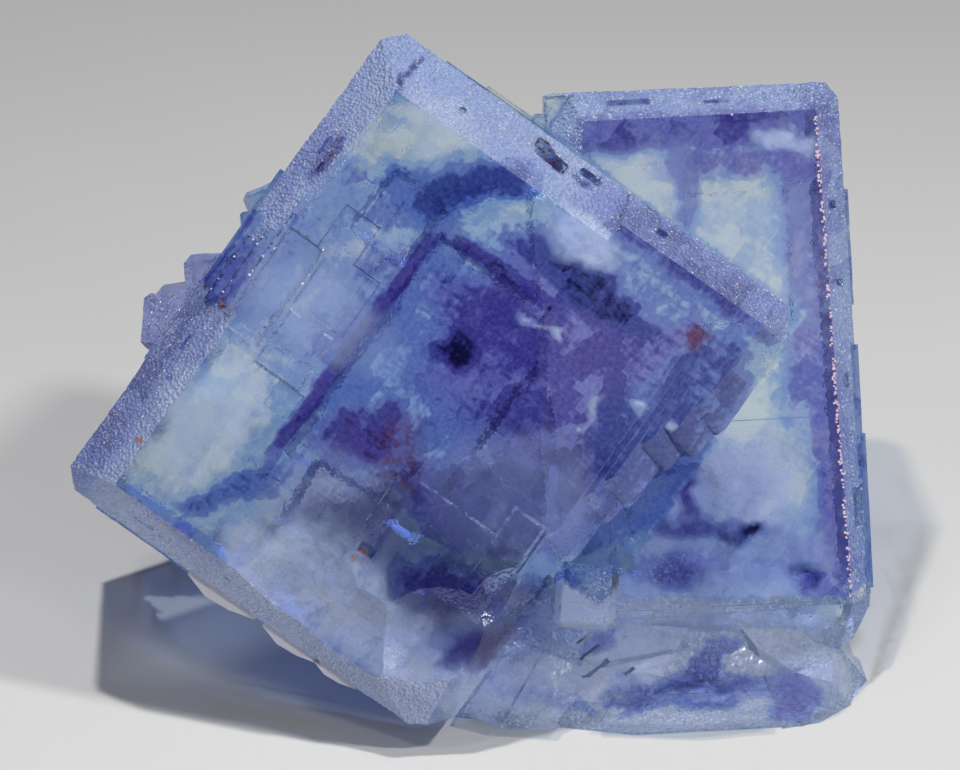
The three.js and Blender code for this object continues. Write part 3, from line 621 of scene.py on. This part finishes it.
def fill_face(face, finish, corners, along):
    """Even triangles over one flat face, on the points already set along its edges."""
    outline = []
    for loop in face.loops:
        points = along[loop.edge.index]
        points = points if points[0] == loop.vert.index else points[::-1]
        outline.extend(points[:-1])
    normal = face.normal
    across = normal.orthogonal().normalized()
    up = normal.cross(across)
    middle = face.calc_center_median()
    flat = [Vector(((corners[i] - middle).dot(across), (corners[i] - middle).dot(up))) / MM
            for i in outline]
    rim = np.array(flat)
    step = finish["spacing"]
    xs = np.arange(rim[:, 0].min() + step / 2, rim[:, 0].max(), step)
    ys = np.arange(rim[:, 1].min() + step / 2, rim[:, 1].max(), step * 0.866)
    rows = [(x + step / 2 * (j % 2), y) for j, y in enumerate(ys) for x in xs]
    inner = np.array(rows).reshape(-1, 2)
    if len(inner):
        start, end = rim, np.roll(rim, -1, axis=0)
        run = end - start
        share = ((inner[:, None] - start) * run).sum(2) / np.maximum((run * run).sum(1), 1e-12)
        nearest = start + np.clip(share, 0, 1)[:, :, None] * run
        gap = np.sqrt(((inner[:, None] - nearest) ** 2).sum(2)).min(1)
        inner = inner[gap > step * 0.55]
    count = len(outline)
    loops = [list(range(count))]
    made, _, triangles, sources, _, _ = delaunay_2d_cdt(
        flat + [Vector(p) for p in inner], [], loops, 1, 1e-6)
    numbers = []
    for place, source in zip(made, sources):
        known = [i for i in source if i < count]
        numbers.append(outline[known[0]] if known else None)
    used = {i for t in triangles for i in t}
    for i in used:
        if numbers[i] is None:
            x, y = made[i] * MM
            corners.append(middle + across * x + up * y)
            numbers[i] = len(corners) - 1
    return [[numbers[i] for i in t] for t in triangles]


def even_mesh(name, bm):
    """The solid's flat faces filled with even triangles, each with its finish."""
    bmesh.ops.remove_doubles(bm, verts=bm.verts, dist=WELD)
    bmesh.ops.dissolve_limit(bm, angle_limit=FLAT_ENOUGH, verts=bm.verts, edges=bm.edges)
    bm.normal_update()
    bm.verts.index_update()
    bm.edges.index_update()
    corners = [v.co.copy() for v in bm.verts]
    finishes = {face: finish_of(face) for face in bm.faces}
    along = {}
    for edge in bm.edges:
        spacing = min(finishes[f]["spacing"] for f in edge.link_faces)
        along[edge.index] = divided(edge, corners, spacing)
    triangles, frost, uneven = [], [], []
    for face, finish in finishes.items():
        filled = fill_face(face, finish, corners, along)
        triangles += filled
        frost += [finish["frost"]] * len(filled)
        uneven += [finish["uneven"]] * len(filled)
    mesh = bpy.data.meshes.new(name)
    mesh.from_pydata(corners, [], triangles)
    for label, values in (("frost", frost), ("uneven", uneven)):
        layer = mesh.attributes.new(label, "FLOAT", "FACE")
        layer.data.foreach_set("value", values)
    return mesh


def blocky(place):
    """Cube-edged steps of two sizes, from -1 to 1."""
    coarse = noise.cell(place * 0.42) - 0.5
    fine = noise.cell(place * 1.15 + Vector((9.1, 4.7, 2.3))) - 0.5
    return coarse + 0.6 * fine


def roughen(mesh):
    """Moves each point along its normal: slow waves on the faces, grain on the frosted parts."""
    bm = bmesh.new()
    bm.from_mesh(mesh)
    frost_layer = bm.faces.layers.float["frost"]
    uneven_layer = bm.faces.layers.float["uneven"]
    bm.normal_update()
    moves = []
    for point in bm.verts:
        if point.co.z < 0.05 * MM:
            moves.append(None)
            continue
        frost = max(face[frost_layer] for face in point.link_faces)
        uneven = min(face[uneven_layer] for face in point.link_faces)
        place = main_inverse @ point.co / MM
        move = noise.noise(place * 0.45) * WAVE_HEIGHT
        if frost > 0.5:
            move += noise.noise(place * 2.6 + Vector((7, 3, 5))) * FROST_GRAIN * frost
        if uneven > 0:
            move += uneven * (STEP_HEIGHT * blocky(place) + BULGE_HEIGHT * noise.noise(place * 0.5))
        moves.append(point.normal * move * MM)
    for point, move in zip(bm.verts, moves):
        if move is not None:
            point.co += move
            point.co.z = max(point.co.z, 0.0)
    for face in bm.faces:
        face.smooth = True
    bm.to_mesh(mesh)
    bm.free()


def paint_growth(mesh):
    layer = mesh.attributes.new("growth", "FLOAT_COLOR", "POINT")
    values, shade = growth_fields([v.co for v in mesh.vertices])
    layer.data.foreach_set("color", values.astype(np.float32).ravel())
    shade_layer = mesh.attributes.new("shade", "FLOAT", "POINT")
    shade_layer.data.foreach_set("value", shade.astype(np.float32))


def make_clear_cluster():
    bm = bmesh.new()
    bm.from_mesh(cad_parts[NODE].data)
    mesh = even_mesh("clear_cluster", bm)
    bm.free()
    paint_growth(mesh)
    roughen(mesh)
    mesh.set_sharp_from_angle(angle=SHARP_ANGLE)
    mesh.materials.append(clear_fluorite())
    return link_piece("clear_cluster", mesh)


# Frosting: tiny cube corners that stand a little out of the bevels, in line with their crystal.
GRAIN_SIZES = (0.05, 0.16)  # mm
GRAINS_PER_MM2 = 9.0
GRAIN_SEED = 7
GRAIN_SUNK = 0.07
GRAIN_COLOUR = (0.36, 0.43, 0.76, 1)
FROSTED_ENOUGH, MAIN_FROST = 0.75, 0.9
LOWEST_GRAIN = 0.5


def grain_tree(material):
    """Scatters cubes over a surface, all turned one way."""
    tree = bpy.data.node_groups.new("bevel_grains", "GeometryNodeTree")
    inputs = {}
    for label, kind in (("Bevels", "Geometry"), ("Grains per Area", "Float"), ("Turn", "Vector"),
                        ("Smallest", "Vector"), ("Largest", "Vector"), ("Seed", "Int")):
        socket = tree.interface.new_socket(label, in_out="INPUT", socket_type="NodeSocket" + kind)
        inputs[label] = socket.identifier
    tree.interface.new_socket("Grains", in_out="OUTPUT", socket_type="NodeSocketGeometry")
    start, end = add(tree, "NodeGroupInput"), add(tree, "NodeGroupOutput")
    points = add(tree, "GeometryNodeDistributePointsOnFaces")
    cube = add(tree, "GeometryNodeMeshCube")
    turn = add(tree, "FunctionNodeEulerToRotation")
    size = add(tree, "FunctionNodeRandomValue", data_type="FLOAT_VECTOR")
    place = add(tree, "GeometryNodeInstanceOnPoints")
    realize = add(tree, "GeometryNodeRealizeInstances")
    dress = add(tree, "GeometryNodeSetMaterial")
    cube.inputs["Size"].default_value = (1, 1, 1)
    dress.inputs["Material"].default_value = material
    wire(tree, start.outputs["Bevels"], points.inputs["Mesh"])
    wire(tree, start.outputs["Grains per Area"], points.inputs["Density"])
    wire(tree, start.outputs["Seed"], points.inputs["Seed"])
    wire(tree, start.outputs["Turn"], turn.inputs["Euler"])
    wire(tree, start.outputs["Smallest"], size.inputs["Min"])
    wire(tree, start.outputs["Largest"], size.inputs["Max"])
    wire(tree, points.outputs["Points"], place.inputs["Points"])
    wire(tree, cube.outputs["Mesh"], place.inputs["Instance"])
    wire(tree, turn.outputs["Rotation"], place.inputs["Rotation"])
    wire(tree, size.outputs["Value"], place.inputs["Scale"])
    wire(tree, place.outputs["Instances"], realize.inputs["Geometry"])
    wire(tree, realize.outputs["Geometry"], dress.inputs["Geometry"])
    wire(tree, dress.outputs["Geometry"], end.inputs["Grains"])
    return tree, inputs


def frosted_part(cluster, on_main):
    """The frosted bevels of one crystal, as a mesh of their own, a little below their surface."""
    bm = bmesh.new()
    bm.from_mesh(cluster.data)
    frost_layer = bm.faces.layers.float["frost"]
    others = [face for face in bm.faces
              if face[frost_layer] < FROSTED_ENOUGH or (face[frost_layer] > MAIN_FROST) != on_main
              or face.calc_center_median().z < LOWEST_GRAIN * MM]
    bmesh.ops.delete(bm, geom=others, context="FACES")
    for point in bm.verts:
        point.co -= point.normal * GRAIN_SUNK * MM
    mesh = bpy.data.meshes.new("frosted_bevels")
    bm.to_mesh(mesh)
    bm.free()
    return mesh


def make_grains(cluster):
    tree, inputs = grain_tree(plain_crystal("frost_grain", GRAIN_COLOUR, 0.34, 0.45))
    smallest, largest = (size * MM for size in GRAIN_SIZES)
    joined = bmesh.new()
    for i, (on_main, crystal) in enumerate(((True, main_frame), (False, second_frame))):
        host = link_piece("bevels", frosted_part(cluster, on_main))
        grow = host.modifiers.new("grains", "NODES")
        settings = {"Grains per Area": GRAINS_PER_MM2 / MM ** 2, "Turn": tuple(crystal.to_euler()),
                    "Smallest": (smallest,) * 3, "Largest": (largest,) * 3, "Seed": GRAIN_SEED + i}
        grow.node_group = tree
        for label, value in settings.items():
            grow[inputs[label]] = value
        host.update_tag()
        bpy.context.view_layer.update()
        grown = host.evaluated_get(bpy.context.evaluated_depsgraph_get())
        made = bpy.data.meshes.new_from_object(grown)
        joined.from_mesh(made)
        material = made.materials[0]
        host.modifiers.remove(grow)
        bpy.data.objects.remove(host)
    mesh = bpy.data.meshes.new("bevel_grains")
    joined.to_mesh(mesh)
    joined.free()
    mesh.materials.append(material)
    return link_piece("bevel_grains", mesh)


# Stains and a highlight: rusty grains in a few hollows, and a pinkish dotted line of grains along
# the second crystal's bevel, painted as the bright highlight on its edge.
RUSTY, PINK_HIGHLIGHT = 0, 1
# Rust, and the pinkish white of the painted edge highlight.
STAIN_AND_HIGHLIGHT_COLOURS = ((0.50, 0.17, 0.07, 1), (0.78, 0.56, 0.68, 1))
LINE_GRAIN_SIZES = (0.07, 0.16)  # mm
LINE_GRAIN_SEED = 11
ABOVE_THE_FACE = 10  # mm


def grain_line(start, end, spread, grains, colour=RUSTY):
    """Grains about a line on the face, from start to end in millimetres across and up."""
    return {"ends": (start, end), "spread": spread, "grains": grains, "colour": colour}


STAINS_AND_HIGHLIGHT = [
    grain_line((-16.2, 5.1), (-15.7, 4.8), 0.10, 10),
    grain_line((3.8, 14.9), (5.2, 13.5), 0.22, 12),
    grain_line((-7.9, -10.9), (-7.4, -10.2), 0.06, 8),
    grain_line((-7.4, -10.2), (-7.0, -10.6), 0.06, 6),
    grain_line((-21.5, -3.3), (-21.0, -3.5), 0.10, 5),
    # Painted highlight: pale pinkish grains along the second crystal's right bevel edge, standing in
    # for the bright line of light there.
    grain_line((21.36, 17.2), (23.65, -13.4), 0.05, 210, PINK_HIGHLIGHT),
]


def make_stains_and_highlight(cluster):
    mesh = cluster.data
    skin = BVHTree.FromPolygons([face_frame_inverse @ v.co / MM for v in mesh.vertices],
                                [face.vertices for face in mesh.polygons])
    draws = random.Random(LINE_GRAIN_SEED)
    turn = second_frame.to_3x3().to_4x4()
    bm = bmesh.new()
    for line in STAINS_AND_HIGHLIGHT:
        start, end = (Vector((*at, 0)) for at in line["ends"])
        for _ in range(line["grains"]):
            at = start.lerp(end, draws.random())
            at.x += draws.gauss(0, line["spread"])
            at.y += draws.gauss(0, line["spread"])
            size = draws.uniform(*LINE_GRAIN_SIZES)
            hit = skin.ray_cast(Vector((at.x, at.y, ABOVE_THE_FACE)), Vector((0, 0, -1)))[0]
            if hit is None:
                continue
            stance = Matrix.Translation(face_frame @ (hit * MM)) @ turn
            cube = bmesh.ops.create_cube(bm, size=size * MM, matrix=stance)
            for face in {f for corner in cube["verts"] for f in corner.link_faces}:
                face.material_index = line["colour"]
    line_grains = bpy.data.meshes.new("stain_and_highlight_grains")
    bm.to_mesh(line_grains)
    bm.free()
    for name, colour in zip(("rusty_grain", "painted_highlight_grain"), STAIN_AND_HIGHLIGHT_COLOURS):
        line_grains.materials.append(plain_crystal(name, colour, 0.35, 0.0))
    return link_piece("stain_and_highlight_grains", line_grains)


# Slivers: thin pale splinters along the main crystal's lower left wall, in its own frame in mm.
# Each runs from one place to another along the wall, and stands out by the third number.
SLIVER_RUNS = [(-5.6, -0.5, 0.75), (0.1, 4.4, 0.6), (4.0, 7.2, 0.45)]
SLIVER_DEPTHS = (-4.3, -3.1)
SLIVER_ROOT = 0.25
SLIVER_COLOUR = (0.95, 0.93, 1.0, 1)


def make_slivers():
    bm = bmesh.new()
    wall = MAIN_OUTLINE["bottom"]
    back, front = SLIVER_DEPTHS
    for start, end, reach in SLIVER_RUNS:
        third = (end - start) / 3
        rim = [(start, wall + SLIVER_ROOT), (end, wall + SLIVER_ROOT), (end, wall - 0.2 * reach),
               (end - third, wall - 0.8 * reach), (start + third, wall - reach),
               (start, wall - 0.3 * reach)]
        places = [Vector((u, v, w)) * MM for w in (back, front) for u, v in rim]
        corners = [bm.verts.new(main_frame @ place) for place in places]
        bmesh.ops.convex_hull(bm, input=corners)
    bmesh.ops.recalc_face_normals(bm, faces=bm.faces)
    mesh = bpy.data.meshes.new("edge_slivers")
    bm.to_mesh(mesh)
    bm.free()
    mesh.materials.append(plain_crystal("pale_sliver", SLIVER_COLOUR, 0.25, 0.10))
    return link_piece("edge_slivers", mesh)


def link_piece(name, mesh):
    piece = bpy.data.objects.new(name, mesh)
    bpy.context.scene.collection.objects.link(piece)
    return piece


# Stage, light and camera
TABLE_GAP = 0.03
TABLE_HALF = 900


def make_table():
    bm = bmesh.new()
    bmesh.ops.create_grid(bm, x_segments=8, y_segments=8, size=TABLE_HALF * MM)
    mesh = bpy.data.meshes.new("pale_table")
    bm.to_mesh(mesh)
    bm.free()
    mesh.transform(Matrix.Translation((0, 0, -TABLE_GAP * MM)))
    mesh.materials.append(table_material())
    link_piece("pale_table", mesh)


WHITE = (1, 1, 1)
LAMP_AIM = (0, 0, 12)
LAMPS = [  # name, place and width in mm, power in watts, colour
    ("overhead_lamp", (-42, -5, 300), 14, 0.43, (1.0, 0.985, 0.97)),
    ("right_fill", (193, -94, 300), 36, 0.50, WHITE),
    ("left_fill", (-110, -100, 300), 40, 0.07, WHITE),
    ("front_fill", (300, -330, 150), 90, 0.42, WHITE),
]
STUDIO_COLOUR = (0.86, 0.92, 1.0, 1)
STUDIO_STRENGTH = 0.10
GLOW_AT = (-70, -50, 40)
GLOW_SPOT = (-16.6, -4.2, 0)
GLOW_POWER = 0.07
GLOW_COLOUR = (0.72, 0.84, 1.0)
GLOW_ANGLE = 7
GLOW_LAMP_RADIUS = 2


def place_lamp(lamp, at, target):
    piece = bpy.data.objects.new(lamp.name, lamp)
    bpy.context.scene.collection.objects.link(piece)
    piece.location = Vector(at) * MM
    aim = Vector(target) * MM - piece.location
    piece.rotation_euler = aim.to_track_quat("-Z", "Y").to_euler()


def make_glow():
    """The pale glow that light gathered by the crystal leaves in the middle of its shadow."""
    lamp = bpy.data.lights.new("shadow_glow", "SPOT")
    lamp.energy = GLOW_POWER
    lamp.color = GLOW_COLOUR
    lamp.spot_size = math.radians(GLOW_ANGLE)
    lamp.spot_blend = 1.0
    lamp.shadow_soft_size = GLOW_LAMP_RADIUS * MM
    place_lamp(lamp, GLOW_AT, GLOW_SPOT)


def make_light():
    for name, at, size, power, colour in LAMPS:
        lamp = bpy.data.lights.new(name, "AREA")
        lamp.shape = "DISK"
        lamp.size = size * MM
        lamp.energy = power
        lamp.color = colour
        place_lamp(lamp, at, LAMP_AIM)
    make_glow()
    world = bpy.data.worlds.new("studio")
    bpy.context.scene.world = world
    world.use_nodes = True
    background = world.node_tree.nodes["Background"]
    background.inputs["Color"].default_value = STUDIO_COLOUR
    background.inputs["Strength"].default_value = STUDIO_STRENGTH


CAMERA_DISTANCE = 300
CAMERA_ELEVATION = 30
MM_PER_PIXEL = 0.0622
PICTURE_WIDTH = 960
SENSOR = 36


def make_camera():
    data = bpy.data.cameras.new("camera")
    camera = bpy.data.objects.new("camera", data)
    bpy.context.scene.collection.objects.link(camera)
    data.sensor_width = SENSOR
    data.lens = SENSOR * CAMERA_DISTANCE / (MM_PER_PIXEL * PICTURE_WIDTH)
    lift = math.radians(CAMERA_ELEVATION)
    looking = Vector((0, math.cos(lift), -math.sin(lift)))
    camera.location = (Vector(FACE_MIDDLE) - looking * CAMERA_DISTANCE) * MM
    camera.rotation_euler = looking.to_track_quat("-Z", "Y").to_euler()
    data.clip_start = 1 * MM
    data.clip_end = 5
    bpy.context.scene.camera = camera


def set_light_paths():
    scene = bpy.context.scene
    scene.view_settings.view_transform = "Standard"
    cycles = scene.cycles
    cycles.max_bounces = 8
    cycles.transmission_bounces = 8
    cycles.glossy_bounces = 4
    cycles.diffuse_bounces = 2
    cycles.transparent_max_bounces = 16
    cycles.caustics_refractive = False
    cycles.caustics_reflective = False
    cycles.sample_clamp_indirect = 3.0
    cycles.blur_glossy = 0.3
    cycles.adaptive_threshold = 0.05


face_frame_inverse = face_frame.inverted()
main_inverse = main_frame.inverted()
main_turn = main_inverse.to_3x3()
second_inverse = second_frame.inverted()
second_turn = second_inverse.to_3x3()

cluster = make_clear_cluster()
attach(cluster, BODY)
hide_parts(NODE)
grains = make_grains(cluster)
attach(grains, BODY)
stains_and_highlight = make_stains_and_highlight(cluster)
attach(stains_and_highlight, BODY)
slivers = make_slivers()
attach(slivers, BODY)
make_table()
make_light()
make_camera()
set_light_paths()
